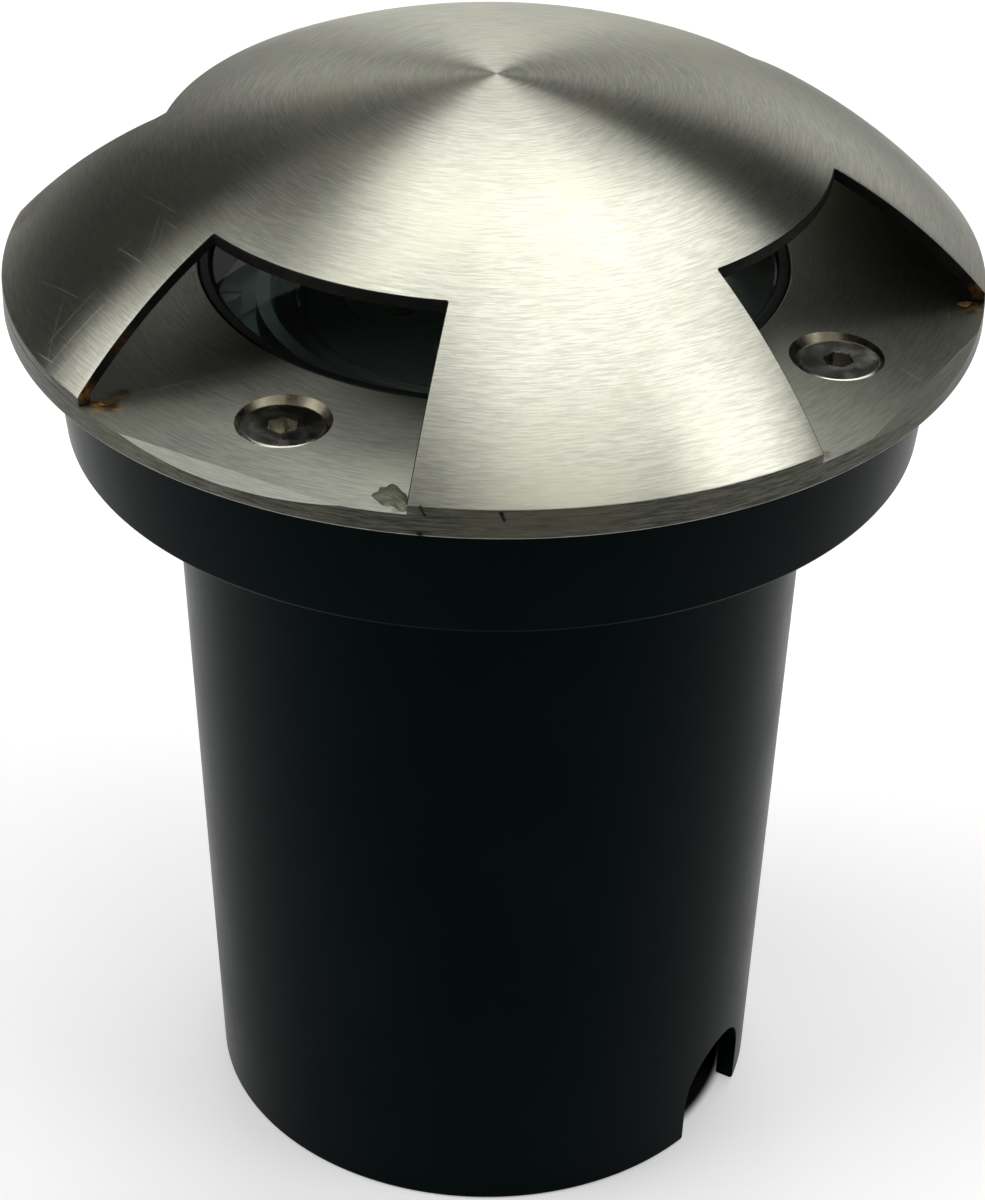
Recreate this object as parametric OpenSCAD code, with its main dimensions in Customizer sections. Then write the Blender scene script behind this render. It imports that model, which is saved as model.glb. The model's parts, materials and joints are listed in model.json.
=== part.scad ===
// In-ground well light. A brushed steel domed cover with a window on each of four sides stands over
// a round glass, and is screwed to a lamp housing that drops into a black plastic sleeve.
// Millimetres, +Z up, origin on the axis at the sleeve's bottom edge, windows on X and Y.

/* [Sleeve] */
// Height of the sleeve, from its bottom edge to the top of its collar
sleeve_h = 108.5; // [105:0.5:140]
// Distance that the collar's top edge stands out from the tube just under the collar
collar_step = 13.3; // [12.9:0.1:14.6]
// Radius that the collar loses from its top edge to the step
collar_draft = 1.6; // [0.5:0.1:2]
// Depth of the collar
collar_h = 15.1; // [14.7:0.1:18]
// Wall of the collar
collar_wall = 1.8; // [1.2:0.1:2]
// Outer radius of the tube just under the collar
tube_r = 37.1; // [36.6:0.1:38.4]
// Radius that the tube loses down to its bottom edge
tube_draft = 3.6; // [1:0.1:4.5]
// Wall of the tube
tube_wall = 2.3; // [1.6:0.1:2.6]
// Thickness of the shelf that joins the tube to the collar
shelf_t = 2.2; // [1.6:0.1:2.5]
// Bevel along the sleeve's outer edges
sleeve_bevel = 0.5; // [0.2:0.1:1]
// Width of the cable notch in the bottom edge
notch_w = 13.5; // [8:0.5:18]
// Height of the cable notch
notch_h = 12.2; // [10:0.1:20]

/* [Cover] */
// Outer radius of the cover
rim_r = 55; // [54:0.1:58]
// Thickness of the floor ring at the rim
ring_edge_t = 2.5; // [2:0.1:3]
// Thickness of the floor ring at its hole
ring_hole_t = 3.3; // [3:0.1:4]
// Radius of the hole over the glass
ring_hole_r = 33.3; // [31.5:0.1:33.6]
// Width of the flat land that the dome stands on
ring_land_w = 3.5; // [2.5:0.1:5]
// Height of the dome above its own edge, as a share of the cover's radius
dome_rise_share = 0.398; // [0.36:0.002:0.43]
// Radius of the dome's crown, as a share of the cover's radius
crown_share = 1.818; // [1.78:0.002:2.1]
// Radius of the dome's shoulder, down to the rim, as a share of the cover's radius
shoulder_share = 1.127; // [1.05:0.001:1.18]
// Thickness of the dome's sheet
sheet_t = 1.2; // [0.8:0.1:1.5]
// Height of the upright edge of the sheet at the rim
sheet_edge_h = 1; // [0.6:0.1:1.5]
// Width of the sheet's foot on the floor ring
sheet_foot_w = 1.6; // [1.2:0.1:2]
// Distance from the axis to the inner arc of a window, as a share of the cover's radius
window_share = 0.68; // [0.62:0.002:0.686]
// Half of the angle that a window spans
window_half_angle = 21.5; // [15:0.5:25]
// Depth of the ground facet below the floor's edge, at the middle of a window
facet_drop = 0.9; // [0.4:0.1:1.2]
// Slope of the ground facet
facet_angle = 28; // [20:1:40]

/* [Cover screws] */
// Radius of the circle that the cover screws stand on
screw_circle_r = 43; // [42.8:0.1:43.4]
// Radius of a cover screw's shank
screw_r = 2.5; // [2:0.1:2.6]
// Radius of a cover screw's countersunk head
screw_head_r = 4.6; // [4.2:0.1:4.8]
// Length of a cover screw, head included
screw_len = 12; // [9:0.5:12.5]
// Depth of the screw head below the floor
screw_sink = 0.4; // [0.2:0.05:0.8]
// Width across the flats of the screw's hexagon socket
socket_af = 3; // [2.5:0.5:3]
// Depth of the hexagon socket
socket_depth = 1.9; // [1.2:0.1:2]

/* [Glass] */
// Radius of the glass at its flange
glass_r = 37; // [36.5:0.1:37.3]
// Thickness of the glass flange
glass_flange_t = 4; // [3:0.1:5]
// Depth of the glass face below the gasket's edge
glass_sink = 0.4; // [0.2:0.1:1]
// Wall of the gasket beside the glass flange
gasket_wall = 1.5; // [1:0.1:1.6]
// Thickness of the gasket above and below the glass flange
gasket_lip_t = 1.4; // [1:0.1:1.6]
// Width of the gasket's collar in the hole of the floor ring
gasket_collar_w = 1.3; // [0.8:0.1:2]
// Width of the gasket's lip under the glass flange
gasket_lip_w = 3; // [2.5:0.1:3]

/* [Housing] */
// Depth of the pot below the flange
pot_depth = 66.5; // [65.5:0.5:70]
// Wall of the pot
pot_wall = 2.2; // [1.8:0.1:2.6]
// Thickness of the pot's floor
pot_floor_t = 2.5; // [2:0.1:3]
// Radius of the chamber for the lamp carrier
chamber_r = 34.8; // [34.2:0.1:35.2]
// Thickness of the seal under the flange
flange_seal_t = 0.8; // [0.5:0.1:0.9]
// Width of the seal under the flange, as a share of the room there
flange_seal_share = 0.51; // [0.3:0.01:0.7]

/* [Lamp] */
// Radius of the lamp's rim
lamp_r = 25; // [24:0.1:25.4]
// Height between the pot's underside and the lamp's base, for the gland, the wiring and the lampholder
base_room = 31.9; // [31:0.1:35]
// Thickness of the lamp's rim, with its bezel
lamp_rim_t = 2.4; // [2:0.1:2.6]
// Number of cooling fins
fin_count = 20; // [12:1:24]
// Thickness of the lamp carrier's plate
carrier_t = 1.5; // [1:0.1:1.8]
// Wall of the lamp carrier's collar
carrier_wall = 1.6; // [1.3:0.1:1.8]
// Radius of the retaining clip's wire
clip_wire_r = 0.55; // [0.4:0.05:0.6]
// Radius of the circle that the carrier's screws stand on
carrier_screw_circle_r = 31; // [30.8:0.1:31.2]

/* [Wiring] */
// Width of the lampholder
holder_w = 22; // [20:0.5:24]
// Depth of the lampholder, and width of its bracket
holder_d = 12; // [10:0.5:14]
// Height of the lampholder
holder_h = 14; // [13:0.5:15]
// Thickness of the lampholder's bracket
bracket_t = 1.2; // [0.8:0.1:1.6]
// Distance from the axis to each post that carries the bracket
post_x = 19; // [18:0.1:20]
// Radius of a post
post_r = 3.2; // [2.8:0.1:3.6]
// Width of the terminal block
block_w = 20; // [19:0.5:22]
// Depth of the terminal block
block_d = 10; // [9:0.5:11]
// Height of the terminal block
block_h = 12; // [11:0.5:13]
// Distance from the axis to the middle of the terminal block
block_y = 19.5; // [19:0.1:20]
// Distance between the two terminals
terminal_pitch = 9; // [8:0.1:10]
// Radius of an inner lead
lead_r = 0.9; // [0.6:0.05:1]
// Radius of the bend in an inner lead
lead_bend_r = 3; // [2:0.1:3.5]

/* [Cable gland] */
// Radius of the gland's thread through the pot's floor
gland_r = 8; // [7:0.1:8.4]
// Radius of the thread that carries the gland's nut
gland_nut_thread_r = 8.6; // [8.2:0.1:9]
// Radius of the hole in the rubber seal, for the cable
cable_hole_r = 3.6; // [2.5:0.1:4.2]
// Width across the flats of the gland's body
gland_af = 20; // [19:0.5:21.5]
// Width across the flats of the gland's nut
gland_nut_af = 21; // [20:0.5:22]
// Height of the hexagon on the gland's body
gland_hex_h = 5; // [3:0.5:6]
// Height of the gland's nut
gland_nut_h = 12; // [11.5:0.5:13]

/* [Hidden] */
$fn = 96;

// Overrun of every cut past the face that it opens
over = 1;
// Windows, and cover screws, around the axis
window_count = 4;

// Fits
// Gap between the sleeve's top edge and the cover
cover_gap = 0.3;
// Gap between two pieces that part, where one seats on the other
seat_gap = 0.2;
// Radial gap between the flange and the collar
flange_gap = 0.6;
// Radial gap between the pot and the tube
pot_gap = 2.3;
// Gap between the gasket and the recess that it drops into
gasket_gap = 0.3;
// Gap between the gasket's collar and the hole of the floor ring
collar_fit = 0.1;
// Gap between a screw head's cone and its countersink
cone_gap = 0.1;
// Radial gap of a screw in its threaded hole
thread_gap = 0.05;
// Radial gap of a plain part in its hole
loose_gap = 0.15;
// Gap between the lamp's face and the glass
lamp_gap = 1;
// Gap around the lamp's rim, and around the carrier's plate
rim_gap = 0.3;

// Levels, from the sleeve up through the cover
step_z = sleeve_h - collar_h;
shelf_z = step_z + shelf_t;
seal_z = shelf_z + seat_gap;
flange_z = seal_z + flange_seal_t;
cover_z = sleeve_h + cover_gap;
rim_top_z = cover_z + ring_edge_t;
hole_top_z = cover_z + ring_hole_t;
dome_z = rim_top_z + sheet_edge_h;
gasket_top_z = hole_top_z - collar_fit;
glass_top_z = gasket_top_z - glass_sink;
glass_flange_top_z = cover_z - gasket_lip_t;
glass_z = glass_flange_top_z - glass_flange_t;
gasket_z = glass_z - gasket_lip_t;
recess_z = gasket_z - gasket_gap;

// Levels, from the lamp down to the gland
lamp_z = glass_z - lamp_gap;
carrier_top_z = lamp_z - lamp_rim_t;
chamber_z = carrier_top_z - carrier_t;
pot_z = flange_z - pot_depth;
pot_floor_z = pot_z + pot_floor_t;
lamp_base_z = pot_z + base_room;
lamp_h = lamp_z - lamp_base_z;
holder_z = lamp_base_z - holder_h;
bracket_z = holder_z - bracket_t;

// Radii of the sleeve and of what stands in it
tube_in_r = tube_r - tube_wall;
collar_r = tube_r + collar_step;
collar_in_r = collar_r - collar_wall;
collar_slope = collar_draft / collar_h;
flange_r = collar_in_r - collar_slope * (sleeve_h - flange_z) - flange_gap;
pot_r = tube_in_r - pot_gap;
pot_draft = tube_draft * pot_depth / step_z;
pot_in_r = pot_r - pot_wall;
pot_floor_r = pot_in_r - pot_draft;
gasket_r = glass_r + gasket_wall;
recess_r = gasket_r + gasket_gap;
boss_r = ring_hole_r - collar_fit - gasket_collar_w;

// Bevel on the glass, and along the pot's foot
glass_bevel = 0.4;
pot_bevel = 1.5;

// Cover screws: the floor's level where they stand, and the level of their heads
ring_land_r = rim_r - ring_land_w;
floor_fall = ring_hole_t - ring_edge_t;
floor_share = (ring_land_r - screw_circle_r) / (ring_land_r - ring_hole_r);
screw_floor_z = rim_top_z + floor_fall * floor_share;
screw_top_z = screw_floor_z - screw_sink;
screw_end_z = screw_top_z - screw_len;
// Spare depth of a threaded hole below its screw
tap_spare = 1;

// Dome: its crown and shoulder are two arcs with one tangent where they meet
dome_rise = rim_r * dome_rise_share;
crown_r = rim_r * crown_share;
shoulder_r = rim_r * shoulder_share;
window_in_r = rim_r * window_share;
crown_z = dome_rise - crown_r;
rim_distance = norm([rim_r, crown_z]);
centre_gap = crown_r - shoulder_r;
rim_angle = atan2(rim_r, -crown_z);
rim_cosine = (centre_gap ^ 2 + rim_distance ^ 2 - shoulder_r ^ 2) / (2 * centre_gap * rim_distance);
meet_angle = rim_angle - acos(rim_cosine);
shoulder_x = centre_gap * sin(meet_angle);
shoulder_z = crown_z + centre_gap * cos(meet_angle);
meet_x = crown_r * sin(meet_angle);

// Small metric screws of the carrier, bracket, lampholder and terminal block
small_r = 1.5;
small_head_r = 2.4;
small_head_h = 1.7;
small_slot_w = 0.7;
small_slot_depth = 0.8;
carrier_screw_count = 3;
carrier_screw_angle = 90;
carrier_screw_len = 7;
carrier_boss_r = 2.8;
carrier_boss_h = 12;
bracket_screw_len = 8;
holder_screw_x = 8;
holder_screw_len = 7;
block_screw_bite = 1.8;

// Lamp: its bezel, its step for the clip, and the carrier's hole that its rim rests round
lamp_step_w = 1;
lamp_step_h = 0.9;
bezel_r = lamp_r - lamp_step_w;
bezel_w = 1.4;
lens_t = 1.2;
lens_recess = 0.2;
seat_w = 1.4;
carrier_hole_r = lamp_r - seat_w;
sink_r = carrier_hole_r - rim_gap;
// How the cooling body narrows, as shares of its radius and of its height below the rim
sink_r_shares = [1, 0.65, 0.41, 0.41];
sink_h_shares = [0, 0.57, 0.72, 1];
fin_slot_w = 1.4;
fin_core_r = 11;
fin_top = 3;
pin_r = 0.75;
pin_pitch = 5.33;
pin_len = 7;
pin_root = 3.5;

// Retaining clip: a wire ring with a gap, in a groove of the carrier's collar
clip_gap_angle = 36;
clip_fit = 0.05;
collar_top_gap = 0.5;

// Terminal block: brass tubes with two clamping screws each
tube_out_r = 2;
tube_bore_r = 1.2;
clamp_r = 1.3;
clamp_recess = 0.6;
clamp_height_shares = [0.25, 0.75];
lead_insert = 4;
lead_height = 4;

// Cable gland: washer, lock nut, seal and nut
washer_t = 1.5;
washer_w = 3;
locknut_t = 4.5;
thread_spare = 1;
nut_wall_share = 0.18;
nut_crown_share = 0.8;
seal_wall = 2.7;
seal_proud = 1;
seal_gap = 0.3;
nut_thread_gap = 0.08;
nut_hole_gap = 1;
gland_hex_z = pot_z - washer_t - gland_hex_h;
nut_top_z = gland_hex_z - seal_gap;
nut_z = nut_top_z - gland_nut_h;
nut_wall = gland_nut_h * nut_wall_share;
seal_bottom_z = nut_z + nut_wall + seal_gap;
stub_z = seal_bottom_z + seal_proud;
seal_r = cable_hole_r + seal_wall;

// Corner radius of a hexagon, from its width across the flats
function hex_r(af) = af / sqrt(3);

// Round hole right through a piece of height h that starts at zero
module bore(r, h) {
    translate([0, 0, -over]) cylinder(r = r, h = h + 2 * over);
}

// Pie slice of a flat disc, between an inner arc and an outer radius
module slice(half_angle, in_r, out_r) {
    reach = out_r / cos(half_angle);
    difference() {
        polygon([[0, 0], reach * [cos(half_angle), -sin(half_angle)],
            reach * [cos(half_angle), sin(half_angle)]]);
        circle(r = in_r);
    }
}

// Slotted pan-head screw, its head's underside at zero and its shank down
module pan_screw(len) {
    difference() {
        cylinder(r = small_head_r, h = small_head_h);
        translate([-small_head_r - over, -small_slot_w / 2, small_head_h - small_slot_depth])
            cube([2 * (small_head_r + over), small_slot_w, small_slot_depth + over]);
    }
    translate([0, 0, -len]) cylinder(r = small_r, h = len);
}

// Repeats its child round the axis
module around(count, first = 0) {
    for (i = [0 : count - 1]) rotate([0, 0, first + i * 360 / count]) children();
}

module mounting_sleeve() {
    inner_foot_r = tube_in_r - tube_draft;
    outer_foot_r = tube_r - tube_draft;
    collar_foot_r = collar_r - collar_draft;
    shelf_in_r = collar_in_r - collar_slope * (sleeve_h - shelf_z);
    color("#10171a") difference() {
        rotate_extrude() polygon([
            [inner_foot_r, 0],
            [outer_foot_r - sleeve_bevel, 0],
            [outer_foot_r, sleeve_bevel],
            [tube_r, step_z],
            [collar_foot_r - sleeve_bevel, step_z],
            [collar_foot_r, step_z + sleeve_bevel],
            [collar_r, sleeve_h - sleeve_bevel],
            [collar_r - sleeve_bevel, sleeve_h],
            [collar_in_r, sleeve_h],
            [shelf_in_r, shelf_z],
            [tube_in_r, shelf_z]]);
        for (side = [0, 180]) rotate([0, 0, side]) cable_notch();
    }
}

// Notch with a round top through the wall, from inside the tube to past its outside
module cable_notch() {
    r = notch_w / 2;
    translate([tube_in_r / 2, 0, 0]) {
        translate([0, -r, -over]) cube([tube_r, notch_w, notch_h - r + over]);
        translate([0, 0, notch_h - r]) rotate([0, 90, 0]) cylinder(r = r, h = tube_r);
    }
}

module lamp_housing() {
    pot_foot_r = pot_r - pot_draft;
    color("#1b1e20") difference() {
        union() {
            rotate_extrude() difference() {
                polygon([
                    [0, pot_z],
                    [pot_foot_r - pot_bevel, pot_z],
                    [pot_foot_r, pot_z + pot_bevel],
                    [pot_r, flange_z],
                    [flange_r, flange_z],
                    [flange_r, sleeve_h],
                    [0, sleeve_h]]);
                housing_hollow();
            }
            around(carrier_screw_count, carrier_screw_angle) carrier_boss();
            for (side = [-1, 1]) translate([side * post_x, 0, pot_z])
                cylinder(r = post_r, h = bracket_z - pot_z);
        }
        around(window_count) translate([screw_circle_r, 0, screw_end_z - tap_spare])
            cylinder(r = screw_r + thread_gap, h = screw_len + tap_spare);
        around(carrier_screw_count, carrier_screw_angle)
            translate([carrier_screw_circle_r, 0, chamber_z - carrier_screw_len - tap_spare])
                cylinder(r = small_r + thread_gap, h = carrier_screw_len + tap_spare + over);
        for (side = [-1, 1]) translate([side * post_x, 0, bracket_z - bracket_screw_len - tap_spare])
            cylinder(r = small_r + thread_gap, h = bracket_screw_len + tap_spare + over);
        translate([0, 0, pot_z]) bore(gland_r + loose_gap, pot_floor_t);
        translate([0, block_y, pot_floor_z - block_screw_bite])
            cylinder(r = small_r + thread_gap, h = block_screw_bite + over);
    }
}

// Flat outline of the housing's hollow: the pot, the carrier's chamber and the gasket's recess
module housing_hollow() {
    polygon([
        [0, pot_floor_z],
        [pot_floor_r, pot_floor_z],
        [pot_in_r, chamber_z],
        [pot_in_r, recess_z],
        [0, recess_z]]);
    translate([0, chamber_z]) square([chamber_r, sleeve_h - chamber_z + over]);
    translate([0, recess_z]) square([recess_r, sleeve_h - recess_z + over]);
}

// Boss under one of the carrier's screws, with a web into the pot's wall
module carrier_boss() {
    translate([carrier_screw_circle_r, 0, chamber_z - carrier_boss_h]) {
        cylinder(r = carrier_boss_r, h = carrier_boss_h);
        translate([-carrier_boss_r, -carrier_boss_r, 0])
            cube([pot_r + carrier_boss_r - carrier_screw_circle_r, 2 * carrier_boss_r, carrier_boss_h]);
    }
}

module flange_seal() {
    seal_in_r = tube_in_r + loose_gap;
    seal_w = (flange_r - seal_in_r) * flange_seal_share;
    color("#202224") translate([0, 0, seal_z]) difference() {
        cylinder(r = seal_in_r + seal_w, h = flange_seal_t);
        bore(seal_in_r, flange_seal_t);
    }
}

module lamp_carrier() {
    collar_bore_r = lamp_r + rim_gap;
    color("#8d9092") difference() {
        union() {
            translate([0, 0, chamber_z]) cylinder(r = chamber_r - rim_gap, h = carrier_t);
            translate([0, 0, carrier_top_z])
                cylinder(r = collar_bore_r + carrier_wall, h = glass_z - collar_top_gap - carrier_top_z);
        }
        translate([0, 0, chamber_z]) bore(carrier_hole_r, carrier_t);
        translate([0, 0, carrier_top_z]) cylinder(r = collar_bore_r, h = lamp_rim_t + lamp_gap);
        clip_ring(clip_wire_r + clip_fit, 0);
        around(carrier_screw_count, carrier_screw_angle)
            translate([carrier_screw_circle_r, 0, chamber_z]) bore(small_r + loose_gap, carrier_t);
    }
}

// Ring of wire above the lamp's step, with a gap of the given angle
module clip_ring(wire_r, gap_angle) {
    translate([0, 0, lamp_z - lamp_step_h + clip_wire_r + clip_fit]) rotate([0, 0, gap_angle / 2])
        rotate_extrude(angle = 360 - gap_angle) translate([lamp_r + rim_gap, 0]) circle(r = wire_r);
}

module lamp_clip() {
    color("#b9bbbd") clip_ring(clip_wire_r, clip_gap_angle);
}

module carrier_screws() {
    color("#c9cacb") around(carrier_screw_count, carrier_screw_angle)
        translate([carrier_screw_circle_r, 0, carrier_top_z]) pan_screw(carrier_t + carrier_screw_len);
}

module lamp_body() {
    sink_h = lamp_h - lamp_rim_t;
    slot_h = sink_h * sink_h_shares[2];
    step_h = lamp_h - lamp_step_h;
    lens_z = lamp_h - lens_t - lens_recess;
    face = [[0, lens_z], [bezel_r - bezel_w, lens_z], [bezel_r - bezel_w, lamp_h], [bezel_r, lamp_h],
        [bezel_r, step_h], [lamp_r, step_h], [lamp_r, sink_h]];
    sink = [for (i = [0 : len(sink_r_shares) - 1])
        [sink_r * sink_r_shares[i], sink_h * (1 - sink_h_shares[i])]];
    color("#a3a6a8") translate([0, 0, lamp_base_z]) difference() {
        rotate_extrude() polygon(concat(face, sink, [[0, 0]]));
        around(fin_count) translate([fin_core_r, -fin_slot_w / 2, sink_h - fin_top - slot_h])
            cube([lamp_r, fin_slot_w, slot_h]);
        for (side = [-1, 1]) translate([side * pin_pitch / 2, 0, -over])
            cylinder(r = pin_r, h = pin_root + over);
    }
}

module lamp_lens() {
    color("#d7dcdc", 0.7) translate([0, 0, lamp_z - lens_recess - lens_t])
        cylinder(r = bezel_r - bezel_w - collar_fit, h = lens_t);
}

module lamp_pins() {
    color("#c8a24a") for (side = [-1, 1])
        translate([side * pin_pitch / 2, 0, lamp_base_z - pin_len])
            cylinder(r = pin_r, h = pin_len + pin_root);
}

module lamp_holder() {
    color("#e9e6dc") difference() {
        translate([-holder_w / 2, -holder_d / 2, holder_z]) cube([holder_w, holder_d, holder_h]);
        for (side = [-1, 1]) {
            translate([side * pin_pitch / 2, 0, lamp_base_z - pin_len - tap_spare])
                cylinder(r = pin_r + thread_gap, h = pin_len + tap_spare + over);
            translate([side * holder_screw_x, 0, holder_z - over])
                cylinder(r = small_r + thread_gap, h = holder_screw_len - bracket_t + tap_spare + over);
        }
    }
}

module holder_bracket() {
    length = 2 * (post_x + post_r);
    color("#b4b6b8") difference() {
        translate([-length / 2, -holder_d / 2, bracket_z]) cube([length, holder_d, bracket_t]);
        for (side = [-1, 1]) {
            translate([side * post_x, 0, bracket_z]) bore(small_r + loose_gap, bracket_t);
            translate([side * holder_screw_x, 0, bracket_z]) bore(small_r + loose_gap, bracket_t);
        }
    }
}

module bracket_screws() {
    color("#c9cacb") for (side = [-1, 1])
        translate([side * post_x, 0, holder_z]) pan_screw(bracket_t + bracket_screw_len);
}

module holder_screws() {
    color("#c9cacb") for (side = [-1, 1])
        translate([side * holder_screw_x, 0, bracket_z]) rotate([180, 0, 0]) pan_screw(holder_screw_len);
}

module terminal_block() {
    color("#ece9e0") difference() {
        translate([-block_w / 2, block_y - block_d / 2, pot_floor_z]) cube([block_w, block_d, block_h]);
        for (side = [-1, 1]) translate([side * terminal_pitch / 2, block_y, pot_floor_z]) {
            bore(tube_out_r + thread_gap, block_h);
            for (share = clamp_height_shares) translate([0, 0, block_h * share]) rotate([90, 0, 0])
                cylinder(r = clamp_r + thread_gap, h = block_d / 2 + over);
        }
        translate([0, block_y, pot_floor_z]) bore(small_r + loose_gap, block_h);
    }
}

module terminal_tubes() {
    color("#c8a24a") for (side = [-1, 1]) translate([side * terminal_pitch / 2, block_y, pot_floor_z])
        difference() {
            cylinder(r = tube_out_r, h = block_h);
            bore(tube_bore_r, block_h);
        }
}

// Slotted screws from the block's inner side, each against its brass tube
module terminal_screws() {
    len = block_d / 2 - tube_out_r - clamp_recess - thread_gap;
    color("#c9cacb") for (side = [-1, 1], share = clamp_height_shares)
        translate([side * terminal_pitch / 2, block_y - block_d / 2 + clamp_recess,
            pot_floor_z + block_h * share]) rotate([-90, 0, 0]) difference() {
            cylinder(r = clamp_r, h = len);
            translate([-clamp_r - over, -small_slot_w / 2, -over])
                cube([2 * (clamp_r + over), small_slot_w, small_slot_depth + over]);
        }
}

module block_screw() {
    color("#c9cacb") translate([0, block_y, pot_floor_z + block_h])
        pan_screw(block_h + block_screw_bite - thread_gap);
}

// Each lead leaves the lampholder's side, bends down and ends inside its terminal's tube
module lamp_leads() {
    start_y = holder_d / 2;
    lead_z = holder_z + lead_height;
    bend_y = block_y - lead_bend_r;
    end_z = pot_floor_z + block_h - lead_insert;
    color("#7d1f1c") for (side = [-1, 1]) translate([side * terminal_pitch / 2, 0, 0]) {
        translate([0, start_y, lead_z]) rotate([-90, 0, 0]) cylinder(r = lead_r, h = bend_y - start_y);
        translate([0, bend_y, lead_z - lead_bend_r]) rotate([90, 0, 90])
            rotate_extrude(angle = 90) translate([lead_bend_r, 0]) circle(r = lead_r);
        translate([0, block_y, end_z]) cylinder(r = lead_r, h = lead_z - lead_bend_r - end_z);
    }
}

module gland_body() {
    stub_top_z = pot_floor_z + locknut_t + thread_spare;
    color("#26292b") difference() {
        union() {
            translate([0, 0, gland_hex_z]) cylinder(r = hex_r(gland_af), h = gland_hex_h, $fn = 6);
            translate([0, 0, stub_z]) cylinder(r = gland_nut_thread_r, h = gland_hex_z - stub_z);
            translate([0, 0, gland_hex_z]) cylinder(r = gland_r, h = stub_top_z - gland_hex_z);
        }
        translate([0, 0, stub_z]) bore(cable_hole_r, stub_top_z - stub_z);
        translate([0, 0, stub_z - over])
            cylinder(r = seal_r + thread_gap, h = gland_hex_z - stub_z + over);
    }
}

module gland_washer() {
    color("#1c1d1e") translate([0, 0, pot_z - washer_t]) difference() {
        cylinder(r = gland_r + loose_gap + washer_w, h = washer_t);
        bore(gland_r + loose_gap, washer_t);
    }
}

module gland_locknut() {
    color("#26292b") translate([0, 0, pot_floor_z]) difference() {
        cylinder(r = hex_r(gland_af), h = locknut_t, $fn = 6);
        bore(gland_r + thread_gap, locknut_t);
    }
}

module gland_seal() {
    color("#3b3d3f") translate([0, 0, seal_bottom_z]) difference() {
        cylinder(r = seal_r, h = gland_hex_z - seal_bottom_z);
        bore(cable_hole_r, gland_hex_z - seal_bottom_z);
    }
}

// Hexagon nut with a rounded outer end and a hole for the cable
module gland_nut() {
    corner_r = hex_r(gland_nut_af);
    color("#26292b") translate([0, 0, nut_z]) difference() {
        intersection() {
            cylinder(r = corner_r, h = gland_nut_h, $fn = 6);
            cylinder(r1 = corner_r * nut_crown_share, r2 = corner_r * (1 + nut_crown_share),
                h = gland_nut_h);
        }
        bore(cable_hole_r + nut_hole_gap, gland_nut_h);
        translate([0, 0, nut_wall]) cylinder(r = gland_nut_thread_r + nut_thread_gap, h = gland_nut_h);
    }
}

module cover_ring() {
    sink_bottom_r = screw_head_r + cone_gap - (screw_top_z - cover_z);
    color("#a9a9a0") difference() {
        rotate_extrude() polygon([
            [ring_hole_r, cover_z],
            [rim_r, cover_z],
            [rim_r, rim_top_z],
            [ring_land_r, rim_top_z],
            [ring_hole_r, hole_top_z]]);
        around(window_count) {
            translate([screw_circle_r, 0, cover_z - over]) {
                cylinder(r = screw_r + loose_gap, h = ring_hole_t + 2 * over);
                cylinder(r1 = sink_bottom_r - over, r2 = screw_head_r + cone_gap + screw_sink + over,
                    h = screw_floor_z - cover_z + 2 * over);
            }
            translate([rim_r, 0, rim_top_z - facet_drop]) rotate([0, facet_angle, 0])
                translate([-rim_r / 2, -rim_r / 2, 0]) cube([rim_r, rim_r, ring_hole_t]);
        }
    }
}

// Flat outline under the dome's two arcs, drawn in by an inset
module dome_outline(inset) {
    translate([0, crown_z]) intersection() {
        circle(r = crown_r - inset);
        translate([0, -crown_z - sheet_edge_h - over])
            square([meet_x, dome_rise + sheet_edge_h + 2 * over]);
    }
    translate([shoulder_x, shoulder_z]) intersection() {
        circle(r = shoulder_r - inset);
        translate([-shoulder_x, -shoulder_z - sheet_edge_h - over])
            square([rim_r + over, dome_rise + sheet_edge_h + 2 * over]);
    }
}

module dome_hood() {
    color("#b7b7ad") translate([0, 0, dome_z]) difference() {
        rotate_extrude() difference() {
            intersection() {
                dome_outline(0);
                translate([0, -sheet_edge_h]) square([rim_r, dome_rise + sheet_edge_h + over]);
            }
            intersection() {
                dome_outline(sheet_t);
                translate([0, -sheet_edge_h - over])
                    square([rim_r - sheet_foot_w, dome_rise + sheet_edge_h + over]);
            }
        }
        around(window_count) translate([0, 0, -sheet_edge_h - over])
            linear_extrude(dome_rise + sheet_edge_h + 2 * over)
                slice(window_half_angle, window_in_r, rim_r + over);
    }
}

module glass_lens() {
    color("#9db7ae", 0.45) rotate_extrude() polygon([
        [0, glass_z],
        [glass_r - glass_bevel, glass_z],
        [glass_r, glass_z + glass_bevel],
        [glass_r, glass_flange_top_z],
        [boss_r, glass_flange_top_z],
        [boss_r, glass_top_z - glass_bevel],
        [boss_r - glass_bevel, glass_top_z],
        [0, glass_top_z]]);
}

module lens_gasket() {
    collar_out_r = ring_hole_r - collar_fit;
    color("#0c0d0e") rotate_extrude() polygon([
        [glass_r - gasket_lip_w, gasket_z],
        [gasket_r, gasket_z],
        [gasket_r, cover_z],
        [collar_out_r, cover_z],
        [collar_out_r, gasket_top_z],
        [boss_r, gasket_top_z],
        [boss_r, glass_flange_top_z],
        [glass_r, glass_flange_top_z],
        [glass_r, glass_z],
        [glass_r - gasket_lip_w, glass_z]]);
}

module cover_screws() {
    color("#d2d1ca") around(window_count) translate([screw_circle_r, 0, screw_top_z]) difference() {
        cone_h = screw_head_r - screw_r;
        union() {
            translate([0, 0, -cone_h]) cylinder(r1 = screw_r, r2 = screw_head_r, h = cone_h);
            translate([0, 0, -screw_len]) cylinder(r = screw_r, h = screw_len - cone_h);
        }
        translate([0, 0, -socket_depth]) cylinder(r = hex_r(socket_af), h = socket_depth + over, $fn = 6);
    }
}

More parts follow.
